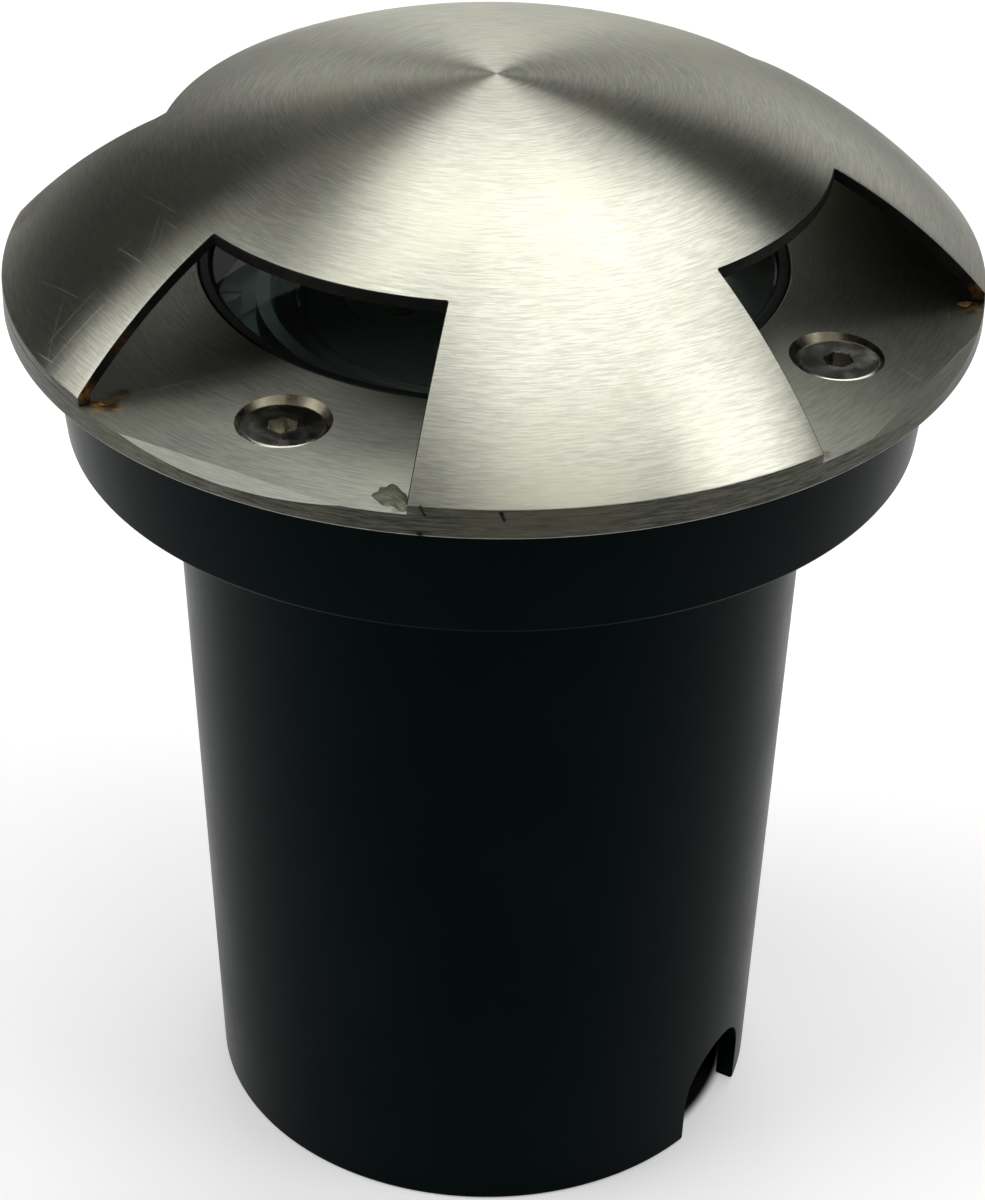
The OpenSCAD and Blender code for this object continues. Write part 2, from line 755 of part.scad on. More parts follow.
mounting_sleeve();
lamp_housing();
flange_seal();
lamp_carrier();
carrier_screws();
lamp_clip();
lamp_body();
lamp_lens();
lamp_pins();
lamp_holder();
holder_bracket();
bracket_screws();
holder_screws();
terminal_block();
terminal_tubes();
terminal_screws();
block_screw();
lamp_leads();
gland_body();
gland_washer();
gland_locknut();
gland_seal();
gland_nut();
cover_ring();
dome_hood();
glass_lens();
lens_gasket();
cover_screws();
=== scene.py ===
import json
import math

import bmesh
import bpy
from mathutils import Matrix, Vector


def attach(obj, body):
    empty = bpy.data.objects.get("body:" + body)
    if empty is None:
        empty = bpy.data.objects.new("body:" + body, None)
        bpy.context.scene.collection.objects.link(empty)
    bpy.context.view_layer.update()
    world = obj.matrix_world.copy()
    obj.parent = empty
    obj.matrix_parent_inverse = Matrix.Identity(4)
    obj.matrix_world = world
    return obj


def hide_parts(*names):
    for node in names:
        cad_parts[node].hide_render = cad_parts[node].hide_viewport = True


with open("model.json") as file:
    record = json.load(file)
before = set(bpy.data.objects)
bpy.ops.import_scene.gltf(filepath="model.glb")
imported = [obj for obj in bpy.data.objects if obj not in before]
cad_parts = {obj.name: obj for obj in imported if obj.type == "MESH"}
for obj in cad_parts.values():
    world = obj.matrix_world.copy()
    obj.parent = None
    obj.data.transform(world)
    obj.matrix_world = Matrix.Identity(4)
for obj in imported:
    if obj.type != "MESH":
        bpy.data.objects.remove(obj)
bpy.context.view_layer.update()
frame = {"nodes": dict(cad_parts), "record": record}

MM = 0.001
NODES = frame["nodes"]
SLOT_OF = {s["node"]: s["material_slot"] for s in frame["record"]["subparts"]}
BODY_OF = {n: b for b, ns in frame["record"]["behaviour"]["bodies"].items() for n in ns}

# Sizes of the light, in millimetres, as in its CAD source.
# Cover: ring, domed hood and the windows cut through the hood's shoulder
RIM_R = 55.0
COVER_Z = 108.8
RIM_TOP_Z = 111.3
HOLE_TOP_Z = 112.1
DOME_Z = 112.3
RING_HOLE_R = 33.3
RING_LAND_R = 51.5
CROWN_R = RIM_R * 1.818
SHOULDER_R = RIM_R * 1.127
DOME_RISE = RIM_R * 0.398
SHEET_T = 1.2
FOOT_R = 53.4
WINDOW_R = RIM_R * 0.68
WINDOW_HALF = math.radians(21.5)
WINDOWS = 4
# The front pillar's two sides: where they stand, how far they lean away from the radius
# at the top, and the angle on either side over which the lean dies out
LEANS = [(math.radians(291.5), math.radians(1.7)), (math.radians(338.5), math.radians(-1.1))]
LEAN_SPREAD = math.radians(16.0)
# Facet ground into the rim at each window
FACET_SLOPE = math.radians(28.0)
FACET_DEPTH = 0.9
# Countersinks and cover screws
SCREW_CIRCLE = 43.0
SCREW_TOP_Z = 111.27
SCREW_R = 2.5
SCREW_LENGTH = 12.0
THREAD_PITCH = 0.8
THREAD_DEPTH = 0.38
HOLE_R = 2.65
SINK_FOOT_Z = 109.17
SINK_TOP_Z = 113.12
SINK_TOP_R = 6.6
HEX_R = 1.732
HEX_DEPTH = 1.9
HEX_SPINS = (12, 41, 5, 27)
# Glass and its gasket
GLASS_R = 31.9
GLASS_FLANGE_R = 37.0
GLASS_FOOT_Z = 103.4
GLASS_STEP_Z = 107.4
GLASS_TOP_Z = 111.6
GASKET_R = 38.5
GASKET_NECK_R = 33.2
GASKET_LIP_R = 34.0
GASKET_FOOT_Z = 102.0
GASKET_TOP_Z = 112.0
# Lamp and the four optics in its face
LAMP_R = 25.0
LAMP_FOOT_Z = 62.0
LAMP_FACE_Z = 100.0
LAMP_TOP_Z = 102.4
LAMP_GLASS_R = 22.5
PIN_X = 2.665
FINS = 24
DIMPLES = 72
OPTICS = 4
OPTIC_R = 6.4
OPTIC_CIRCLE = 10.6
OPTIC_TURN = math.radians(207.6)
CUP_FACETS = 16
# Sleeve and the cable notches in its foot
SLEEVE_H = 108.5
STEP_Z = 93.4
SHELF_Z = 95.6
NOTCH_R = 6.75
NOTCH_H = 12.2

# Half the floor's side, and the distances over which it turns from white to grey, in metres
FLOOR_HALF = 20.0
FLOOR_MIDDLE = (-0.06, 0.105, 0.0)
FLOOR_NEAR = 0.24
FLOOR_FAR = 0.42
# Radius inside the sleeve within which the floor is painted near-black as a painted shadow, and how
# much the rest is whitened
FLOOR_SHADOW_R = 0.0305
FLOOR_GLOW = 0.32
# Soft round lamps of the studio sky: azimuth and height, outer and inner radius in degrees,
# and brightness, over a sky that glows faintly
SKY_GLOW = 0.02
LAMPS = [
    (225, 29, 28, 6, 3.0), (124, 55, 16, 2, 2.75), (9, 42, 16, 2, 2.79), (90, 55, 16, 2, 2.45),
    (342, 68, 28, 6, 1.45), (195, 29, 16, 2, 1.76), (216, 68, 16, 2, 1.4), (135, 81, 28, 6, 1.25),
    (45, 55, 28, 6, 0.85), (103, 3, 28, 6, 0.58), (127, 16, 16, 2, 0.57)]


# ---------------------------------------------------------------- meshes

def mesh_object(name, verts, faces):
    """New object from vertices in millimetres, its faces all turned outwards."""
    mesh = bpy.data.meshes.new(name)
    mesh.from_pydata([(x * MM, y * MM, z * MM) for x, y, z in verts], [], faces)
    bm = bmesh.new()
    bm.from_mesh(mesh)
    bmesh.ops.recalc_face_normals(bm, faces=bm.faces)
    bm.to_mesh(mesh)
    bm.free()
    made = bpy.data.objects.new(name, mesh)
    bpy.context.scene.collection.objects.link(made)
    return made


def build(name, verts, faces, node, sharp, material):
    """New piece that stands for a CAD node, with its edges sharp from an angle on."""
    piece = mesh_object(name, verts, faces)
    piece["sharp"] = sharp
    piece["node"] = node
    piece.data.materials.append(material)
    return piece


def lathe(profile, segments=256, closed=True):
    """Shape of a profile of (radius, height) points turned round the Z axis."""
    verts, rows = [], []
    for r, z in profile:
        if r < 1e-6:
            rows.append([len(verts)])
            verts.append((0.0, 0.0, z))
        else:
            rows.append(list(range(len(verts), len(verts) + segments)))
            for i in range(segments):
                a = 2 * math.pi * i / segments
                verts.append((r * math.cos(a), r * math.sin(a), z))
    faces = []
    pairs = list(zip(rows[:-1], rows[1:]))
    if closed:
        pairs.append((rows[-1], rows[0]))
    for low, high in pairs:
        for i in range(segments):
            j = (i + 1) % segments
            if len(low) == 1 and len(high) == 1:
                break
            if len(low) == 1:
                faces.append((low[0], high[j], high[i]))
            elif len(high) == 1:
                faces.append((low[i], low[j], high[0]))
            else:
                faces.append((low[i], low[j], high[j], high[i]))
    return verts, faces


def rounded(points, steps=4):
    """Closed profile whose corners (radius, height, fillet) are rounded."""
    out = []
    n = len(points)
    for i, (r, z, fillet) in enumerate(points):
        here = Vector((r, z))
        if not fillet:
            out.append((r, z))
            continue
        before = (Vector(points[i - 1][:2]) - here).normalized()
        after = (Vector(points[(i + 1) % n][:2]) - here).normalized()
        half = before.angle(after) / 2
        reach = fillet / math.tan(half)
        centre = here + (before + after).normalized() * fillet / math.sin(half)
        start = here + before * reach - centre
        turn = start.angle_signed(here + after * reach - centre)
        for k in range(steps + 1):
            arm = start.copy()
            arm.rotate(Matrix.Rotation(-turn * k / steps, 2))
            out.append(tuple(centre + arm))
    return out


def cutter(verts, faces):
    """Shape that is only there to be cut out of a piece."""
    return mesh_object("cutter", verts, faces)


def box(x0, x1, y0, y1, z0, z1):
    """Straight box between two corners."""
    verts = [(x, y, z) for x in (x0, x1) for y in (y0, y1) for z in (z0, z1)]
    faces = [(0, 1, 3, 2), (4, 6, 7, 5), (0, 4, 5, 1), (2, 3, 7, 6), (0, 2, 6, 4), (1, 5, 7, 3)]
    return verts, faces


def prism(outline, z0, z1):
    """Straight prism on a closed outline of (x, y) points."""
    n = len(outline)
    verts = [(x, y, z0) for x, y in outline] + [(x, y, z1) for x, y in outline]
    faces = [tuple(range(n)), tuple(range(n, 2 * n))]
    faces += [(i, (i + 1) % n, n + (i + 1) % n, n + i) for i in range(n)]
    return verts, faces


def move(shape, matrix):
    """Copy of a shape, moved."""
    verts, faces = shape
    return [tuple(matrix @ Vector(v)) for v in verts], faces


def around(angle, x=0.0, y=0.0, z=0.0):
    """Place at (x, y, z), turned round the Z axis."""
    return Matrix.Rotation(angle, 4, "Z") @ Matrix.Translation((x, y, z))


def joined(shapes):
    """One shape of several."""
    verts, faces = [], []
    for v, f in shapes:
        faces += [tuple(i + len(verts) for i in face) for face in f]
        verts += v
    return verts, faces


def apply_modifiers(piece):
    """Puts the modified mesh into the piece and takes its modifiers off."""
    graph = bpy.context.evaluated_depsgraph_get()
    graph.update()
    mesh = bpy.data.meshes.new_from_object(piece.evaluated_get(graph))
    piece.modifiers.clear()
    piece.data = mesh


def cut(piece, tools):
    """Takes the tools out of the piece, and out of the scene."""
    for tool in tools:
        step = piece.modifiers.new("cut", "BOOLEAN")
        step.operation = "DIFFERENCE"
        step.solver = "EXACT"
        step.object = tool
        apply_modifiers(piece)
        bpy.data.objects.remove(tool)
    return piece


def bevel(piece, width, angle):
    """Small bevel, in millimetres, on the edges sharper than an angle in degrees."""
    step = piece.modifiers.new("bevel", "BEVEL")
    step.width = width * MM
    step.segments = 2
    step.limit_method = "ANGLE"
    step.angle_limit = math.radians(angle)
    step.use_clamp_overlap = True
    step.miter_outer = "MITER_ARC"
    apply_modifiers(piece)
    return piece


def dress(piece):
    """Smooth shading with sharp edges, and the piece's place in the frame."""
    mesh = piece.data
    bm = bmesh.new()
    bm.from_mesh(mesh)
    bmesh.ops.remove_doubles(bm, verts=bm.verts, dist=1e-7)
    loose = [v for v in bm.verts if not v.link_faces]
    bmesh.ops.delete(bm, geom=loose, context="VERTS")
    limit = math.radians(piece["sharp"])
    for edge in bm.edges:
        edge.smooth = len(edge.link_faces) == 2 and edge.calc_face_angle(0.0) < limit
    for face in bm.faces:
        face.smooth = True
    bm.to_mesh(mesh)
    bm.free()
    step = piece.modifiers.new("normals", "WEIGHTED_NORMAL")
    step.keep_sharp = True
    step.weight = 70
    node = piece["node"]
    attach(piece, BODY_OF[node])
    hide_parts(node)


# ------------------------------------------------------------- materials

class Paint:
    """Short way to write a material's nodes."""

    def __init__(self, name, tree=None):
        """Starts a new material, or takes over the node tree of a world."""
        if tree:
            self.tree = tree
            tree.nodes.clear()
            return
        self.mat = bpy.data.materials.new(name)
        self.mat.use_nodes = True
        self.tree = self.mat.node_tree
        self.tree.nodes.clear()
        self.out = self.add("ShaderNodeOutputMaterial")
        self.shader = self.add("ShaderNodeBsdfPrincipled")
        self.link(self.shader.outputs[0], self.out.inputs["Surface"])
        self.place = self.add("ShaderNodeTexCoord").outputs["Object"]

    def link(self, a, b):
        self.tree.links.new(a, b)

    def add(self, kind, inputs=None, **props):
        node = self.tree.nodes.new(kind)
        for key, value in props.items():
            setattr(node, key, value)
        for key, value in (inputs or {}).items():
            self.put(node.inputs[key], value)
        return node

    def put(self, socket, value):
        if isinstance(value, bpy.types.NodeSocket):
            self.link(value, socket)
        else:
            socket.default_value = value

    def set(self, **values):
        for key, value in values.items():
            self.put(self.shader.inputs[key.replace("_", " ")], value)
        return self

    def math(self, operation, a, b=0.0, c=0.0):
        node = self.add("ShaderNodeMath", operation=operation)
        for socket, value in zip(node.inputs, (a, b, c)):
            self.put(socket, value)
        return node.outputs[0]

    def noise(self, place, scale, detail=2.0, rough=0.5):
        return self.add("ShaderNodeTexNoise", {
            "Vector": place, "Scale": scale, "Detail": detail, "Roughness": rough}).outputs["Fac"]

    def ramp(self, value, low, high, to_low=0.0, to_high=1.0):
        return self.add("ShaderNodeMapRange", {
            "Value": value, "From Min": low, "From Max": high, "To Min": to_low, "To Max": to_high},
            interpolation_type="SMOOTHSTEP").outputs[0]

    def mix(self, share, a, b):
        node = self.add("ShaderNodeMix", data_type="RGBA")
        self.put(node.inputs["Factor"], share)
        self.put(node.inputs[6], a)
        self.put(node.inputs[7], b)
        return node.outputs[2]

    def dot(self, place, direction):
        return self.add("ShaderNodeVectorMath", {0: place, 1: direction},
                        operation="DOT_PRODUCT").outputs["Value"]

    def distance(self, place, point=(0.0, 0.0, 0.0)):
        return self.add("ShaderNodeVectorMath", {0: place, 1: point},
                        operation="DISTANCE").outputs["Value"]

    def bump(self, height, strength, distance):
        return self.add("ShaderNodeBump", {
            "Height": height, "Strength": strength, "Distance": distance * MM}).outputs["Normal"]

    def turned(self, along, across):
        """Coordinates that run slowly round the Z axis and fast across it, with no seam."""
        parts = self.add("ShaderNodeSeparateXYZ", {"Vector": self.place}).outputs
        r = self.math("SQRT", self.math("ADD", self.math("MULTIPLY", parts[0], parts[0]),
                                        self.math("MULTIPLY", parts[1], parts[1])))
        wander = self.noise(self.place, 55.0, 1.0)
        radial = self.math("ADD", self.math("SUBTRACT", r, parts[2]),
                           self.math("MULTIPLY", wander, 0.0022))
        return self.add("ShaderNodeCombineXYZ", {
            "X": self.math("MULTIPLY", parts[0], along),
            "Y": self.math("MULTIPLY", parts[1], along),
            "Z": self.math("MULTIPLY", radial, across)}).outputs[0]

    def scratches(self, amount):
        """Short straight scratches in three directions, most of them on the left of the hood."""
        parts = self.add("ShaderNodeSeparateXYZ", {"Vector": self.place}).outputs
        total = None
        lines = ((0.35, 0.0021, 110.0), (1.15, 0.0032, 90.0), (2.5, 0.0026, 130.0))
        for angle, pitch, run in lines:
            u = self.math("ADD", self.math("MULTIPLY", parts[0], math.cos(angle) / pitch),
                          self.math("MULTIPLY", parts[1], math.sin(angle) / pitch))
            v = self.math("SUBTRACT", self.math("MULTIPLY", parts[1], math.cos(angle)),
                          self.math("MULTIPLY", parts[0], math.sin(angle)))
            lane = self.math("FLOOR", u)
            chance = self.add("ShaderNodeTexWhiteNoise", {"W": lane},
                              noise_dimensions="1D").outputs["Value"]
            middle = self.math("MULTIPLY_ADD", chance, 0.8, 0.1)
            away = self.math("ABSOLUTE", self.math("SUBTRACT", self.math("FRACT", u), middle))
            line = self.ramp(away, 0.008, 0.022, 1.0, 0.0)
            along = self.add("ShaderNodeCombineXYZ", {
                "X": v, "Y": self.math("MULTIPLY", lane, 0.37)}).outputs[0]
            line = self.math("MULTIPLY", line, self.ramp(self.noise(along, run, 1.0), 0.54, 0.62))
            total = line if total is None else self.math("MAXIMUM", total, line)
        side = self.dot(self.place, polar(1.0, 200.0, 0.0))
        return self.math("MULTIPLY", total, self.ramp(side, -0.01, 0.03, amount * 0.35, amount))

    def stain(self, centre, radius):
        """1 near a point of the surface, fading out over a ragged edge."""
        away = self.distance(self.place, [c * MM for c in centre])
        ragged = self.math("ADD", away, self.math("MULTIPLY", self.noise(
            self.place, 700.0, 3.0), radius * 0.9 * MM))
        return self.ramp(ragged, radius * 0.75 * MM, radius * 1.45 * MM, 1.0, 0.0)


def rgba(r, g, b):
    return (r, g, b, 1.0)


def scraped(name, base, rust, metal=0.85, gloss=0.5):
    """Steel with dull patches and rust near the given points; with a near-black base it is the
    painted shade of the hood's cut faces.
    """
    p = Paint(name)
    rough = p.noise(p.place, 1500.0, 4.0, 0.65)
    patchy = p.noise(p.place, 420.0, 4.0, 0.6)
    dull = tuple(c * 0.45 for c in base)
    color = p.mix(p.ramp(patchy, 0.35, 0.68), rgba(*dull), rgba(*base))
    for centre, radius, strength in rust:
        spot = p.math("MULTIPLY", p.stain(centre, radius), strength)
        brown = p.mix(p.ramp(rough, 0.35, 0.65),
                      rgba(0.05, 0.022, 0.008), rgba(0.36, 0.17, 0.035))
        color = p.mix(spot, color, brown)
    p.set(Base_Color=color, Metallic=metal, Roughness=p.ramp(rough, 0.3, 0.7, 0.42, 0.62),
          Normal=p.bump(rough, 0.5, 0.08), Specular_IOR_Level=gloss)
    return p.mat


def polar(r, degrees, z):
    """Point at a radius, an angle and a height."""
    a = math.radians(degrees)
    return (r * math.cos(a), r * math.sin(a), z)


RUST = [(polar(52.6, 250.3, 111.4), 2.4, 0.9), (polar(50.2, 249.4, 111.5), 1.8, 0.5),
        (polar(53.4, 20.0, 111.4), 2.4, 0.8), (polar(53.8, 339.6, 111.4), 1.2, 0.5),
        (polar(54.4, 290.4, 111.4), 0.7, 0.5)]


def brushed(name, base, dark, roughness, anisotropy, grain, rust, nicks, scuffs=0.0):
    """Steel with turned brushing: fine streaks round the axis, worn and slightly stained."""
    p = Paint(name)
    fine = p.noise(p.turned(600.0, 7500.0), 1.0, 3.0, 0.7)
    broad = p.noise(p.turned(300.0, 4000.0), 1.0, 3.0, 0.6)
    cloudy = p.noise(p.place, 60.0, 4.0, 0.55)
    rubbed = p.noise(p.place, 320.0, 5.0, 0.65)
    streak = p.math("ADD", p.math("MULTIPLY", fine, 0.45), p.math("MULTIPLY", broad, 0.55))
    color = p.mix(p.ramp(streak, 0.38, 0.62), rgba(*dark), rgba(*base))
    green = (base[0] * 0.975, base[1] * 0.975, base[2] * 0.87)
    color = p.mix(p.ramp(cloudy, 0.45, 0.75, 0.0, 0.7), color, rgba(*green))
    smear = (base[0] * 0.78, base[1] * 0.78, base[2] * 0.76)
    color = p.mix(p.ramp(rubbed, 0.52, 0.8, 0.0, 0.4), color, rgba(*smear))
    rough = p.ramp(cloudy, 0.3, 0.7, roughness - 0.012, roughness + 0.012)
    drawn = anisotropy
    if scuffs:
        line = p.scratches(scuffs)
        drawn = p.math("MULTIPLY", anisotropy, p.math("SUBTRACT", 1.0, line))
        rough = p.math("ADD", rough, p.math("MULTIPLY", line, 0.12))
    for centre, radius, strength in rust:
        spot = p.math("MULTIPLY", p.stain(centre, radius), strength)
        brown = p.mix(p.ramp(p.noise(p.place, 900.0, 4.0), 0.35, 0.65),
                      rgba(0.07, 0.035, 0.01), rgba(0.42, 0.23, 0.05))
        color = p.mix(spot, color, brown)
        rough = p.math("ADD", rough, p.math("MULTIPLY", spot, 0.25))
    for centre, radius in nicks:
        color = p.mix(p.stain(centre, radius), color, rgba(0.012, 0.011, 0.01))
    normal = p.bump(fine, grain, 0.02)
    tangent = p.add("ShaderNodeTangent", direction_type="RADIAL", axis="Z").outputs[0]
    p.set(Base_Color=color, Metallic=1.0, Roughness=rough, Anisotropic=drawn,
          Anisotropic_Rotation=0.25, Tangent=tangent, Normal=normal)
    return p.mat


def plain_metal(name, base, roughness, grain, scale, worn):
    """Metal without a direction: fine texture, worn duller in clouds."""
    p = Paint(name)
    fine = p.noise(p.place, scale, 3.0)
    cloudy = p.noise(p.place, 130.0, 3.0)
    dull = tuple(c * (1 - worn) for c in base)
    color = p.mix(p.ramp(cloudy, 0.35, 0.7), rgba(*base), rgba(*dull))
    p.set(Base_Color=color, Metallic=1.0, Normal=p.bump(fine, grain, 0.03),
          Roughness=p.ramp(fine, 0.3, 0.7, roughness, roughness + 0.12))
    return p.mat


def moulded(name, base, roughness, specular, grain, scale, spread=0.25, shine=(1, 1, 1)):
    """Moulded plastic or rubber: fine texture and a slight colour drift in clouds."""
    p = Paint(name)
    fine = p.noise(p.place, scale, 2.0)
    cloudy = p.noise(p.place, 45.0, 4.0, 0.6)
    light = tuple(min(1.0, c * (1 + spread) + 0.001) for c in base)
    color = p.mix(p.ramp(cloudy, 0.35, 0.75), rgba(*base), rgba(*light))
    p.set(Base_Color=color, Normal=p.bump(fine, grain, 0.02),
          Roughness=p.ramp(cloudy, 0.3, 0.75, roughness, roughness + 0.08),
          Specular_IOR_Level=specular, Specular_Tint=rgba(*shine))
    return p.mat


def clear_glass(name, tint, clear=1.0):
    """Glass with a little dust, less clear where a share of it scatters light."""
    p = Paint(name)
    dust = p.noise(p.place, 260.0, 5.0, 0.7)
    p.set(Base_Color=rgba(*tint), Roughness=p.ramp(dust, 0.5, 0.8, 0.0, 0.04),
          Transmission_Weight=clear, IOR=1.5)
    return p.mat


NICKS = [(polar(54.9, 301.4 + 0.12 * k, 112.0 - 0.28 * k), 0.3) for k in range(4)]
NICKS += [(polar(54.9, 293.0 + 0.15 * k, 112.3 - 0.28 * k), 0.3) for k in range(4)]
NICKS += [(polar(54.8, 336.9, 111.6), 0.36), (polar(54.9, 292.9, 109.1), 0.5)]
STEEL = brushed("hood_steel", (0.71, 0.71, 0.605), (0.5, 0.502, 0.42), 0.29, 0.96, 0.02,
                [(polar(53.0, 205.0, 114.5), 5.0, 0.3)], NICKS, 0.35)
# Painted shade: the ring's base colour is darker than the hood's steel, for the shade under the
# hood; its rust, nicks and scratches are its own.
SHADED_RING_STEEL = brushed("ring_steel_painted_shade", (0.43, 0.435, 0.375), (0.3, 0.303, 0.26), 0.43, 0.85, 0.032,
                     RUST, NICKS, 0.7)
FACET_STEEL = brushed("facet_steel", (0.53, 0.537, 0.465), (0.4, 0.405, 0.35), 0.34, 0.6, 0.02,
                      RUST, NICKS)
# Painted shade: the countersink walls get a colour far darker than the ring's steel.
SHADED_SINK_STEEL = plain_metal("sink_steel_painted_shade", (0.22, 0.2, 0.14), 0.24, 0.05, 900.0, 0.75)
# Painted shade: the hex socket walls are coloured darker than the screw heads.
SHADED_SOCKET_STEEL = plain_metal("socket_steel_painted_shade", (0.45, 0.43, 0.36), 0.2, 0.05, 900.0, 0.5)
# Painted shade: the cover's upright outer edge gets a brushed steel far darker than the ring's and
# hood's.
SHADED_EDGE_STEEL = brushed("edge_steel_painted_shade", (0.15, 0.15, 0.122), (0.055, 0.055, 0.044), 0.4, 0.85, 0.16,
                     (), NICKS)
# Painted shade: the hood's cut faces get a near-black colour; the rust spots on them are the
# steel's own.
SHADED_CUT_STEEL = scraped("cut_steel_painted_shade", (0.013, 0.012, 0.011), [
    (polar(54.2, 248.5, 112.6), 1.9, 0.6), (polar(49.0, 248.5, 116.8), 2.4, 0.15),
    (polar(54.0, 21.5, 112.6), 1.3, 0.4), (polar(54.2, 338.5, 112.6), 1.2, 0.3)], 0.0, 0.12)
# Painted shade: the hood's underside gets a steel colour far darker than its outside.
SHADED_UNDERSIDE_STEEL = plain_metal("inner_steel_painted_shade", (0.3, 0.3, 0.27), 0.36, 0.1, 900.0, 0.4)
WELD_STEEL = scraped("weld_steel", (0.2, 0.21, 0.15), [
    (polar(53.0, 249.6, 111.6), 2.6, 0.9), (polar(53.4, 20.4, 111.6), 2.4, 0.8),
    (polar(53.4, 339.4, 111.6), 1.6, 0.5)])
MATERIALS = {
    "cover_steel": SHADED_RING_STEEL,
    "screw_steel": plain_metal("screw_metal", (0.56, 0.55, 0.49), 0.17, 0.006, 500.0, 0.05),
    "clear_glass": clear_glass("lens_glass", (0.8, 0.97, 0.9), 0.957),
    "lamp_lens": clear_glass("lamp_glass", (0.8, 0.84, 0.83)),
    "black_rubber": moulded("seal_rubber", (0.006, 0.007, 0.007), 0.5, 0.3, 0.1, 1800.0),
    "sleeve_plastic": moulded("sleeve_black", (0.0007, 0.0026, 0.0026), 0.26, 0.025, 0.05, 1500.0,
                              0.3, (0.5, 0.95, 0.95)),
    "housing_paint": moulded("housing_black", (0.018, 0.019, 0.02), 0.5, 0.4, 0.35, 1700.0),
    "lamp_aluminium": plain_metal("lamp_metal", (0.46, 0.46, 0.46), 0.3, 0.12, 1100.0, 0.2),
    "plated_steel": plain_metal("zinc", (0.62, 0.62, 0.6), 0.28, 0.1, 1000.0, 0.25),
    "brass": plain_metal("brass", (0.66, 0.46, 0.19), 0.24, 0.08, 1000.0, 0.3),
    "white_ceramic": moulded("ceramic", (0.72, 0.7, 0.65), 0.4, 0.5, 0.15, 1200.0, 0.08),
    "pale_plastic": moulded("pale_plastic", (0.7, 0.68, 0.62), 0.42, 0.5, 0.08, 1200.0, 0.08),
    "lead_silicone": moulded("lead_red", (0.25, 0.022, 0.018), 0.45, 0.4, 0.1, 1500.0, 0.2),
    "gland_nylon": moulded("gland_black", (0.02, 0.021, 0.022), 0.42, 0.5, 0.12, 1500.0, 0.2),
}

# Painted light: the LED plate gets a pale colour that brightens the lamp's face in the hood's
# shade.
PAINTED_LIGHT_PLATE = moulded("plate_painted_light", (0.52, 0.64, 0.61), 0.4, 0.3, 0.02, 1500.0, 0.2)
BEZEL = moulded("bezel_grey", (0.3, 0.28, 0.25), 0.6, 0.15, 0.05, 1500.0, 0.2)
CHROME = moulded("reflector", (0.7, 0.76, 0.76), 0.15, 0.8, 0.02, 1200.0, 0.1)
PHOSPHOR = moulded("phosphor", (0.42, 0.33, 0.08), 0.25, 0.5, 0.03, 2500.0, 0.2)

# ----------------------------------------------------------------- camera

CAMERA_AT = Vector((175.9, -300.8, 294.8)) * MM
CAMERA_AIM = Vector((0.31, 0.18, 65.5)) * MM
CAMERA_ROLL = math.radians(0.8116)
cam = bpy.data.objects.new("camera", bpy.data.cameras.new("camera"))
bpy.context.scene.collection.objects.link(cam)
cam.data.sensor_width = 36.0
cam.data.lens = 104.43
cam.data.clip_start = 0.01
ahead = (CAMERA_AIM - CAMERA_AT).normalized()
right = ahead.cross(Vector((0, 0, 1))).normalized()
up = right.cross(ahead)
right2 = right * math.cos(CAMERA_ROLL) + up * math.sin(CAMERA_ROLL)
up2 = up * math.cos(CAMERA_ROLL) - right * math.sin(CAMERA_ROLL)
turn = Matrix((right2, up2, -ahead)).transposed().to_4x4()
cam.matrix_world = Matrix.Translation(CAMERA_AT) @ turn
bpy.context.scene.camera = cam

# ------------------------------------------------------------------ hood

def arc_height(r, inset):
    """Height of the hood's surface above its edge, at a radius."""
    crown_z = DOME_RISE - CROWN_R
    rim_d = math.hypot(RIM_R, crown_z)
    gap = CROWN_R - SHOULDER_R
    cosine = (gap ** 2 + rim_d ** 2 - SHOULDER_R ** 2) / (2 * gap * rim_d)
    meet = math.atan2(RIM_R, -crown_z) - math.acos(cosine)
    sx, sz = gap * math.sin(meet), crown_z + gap * math.cos(meet)
    if r <= (CROWN_R - inset) * math.sin(meet):
        return crown_z + math.sqrt((CROWN_R - inset) ** 2 - r ** 2)
    return sz + math.sqrt(max((SHOULDER_R - inset) ** 2 - (r - sx) ** 2, 0.0))


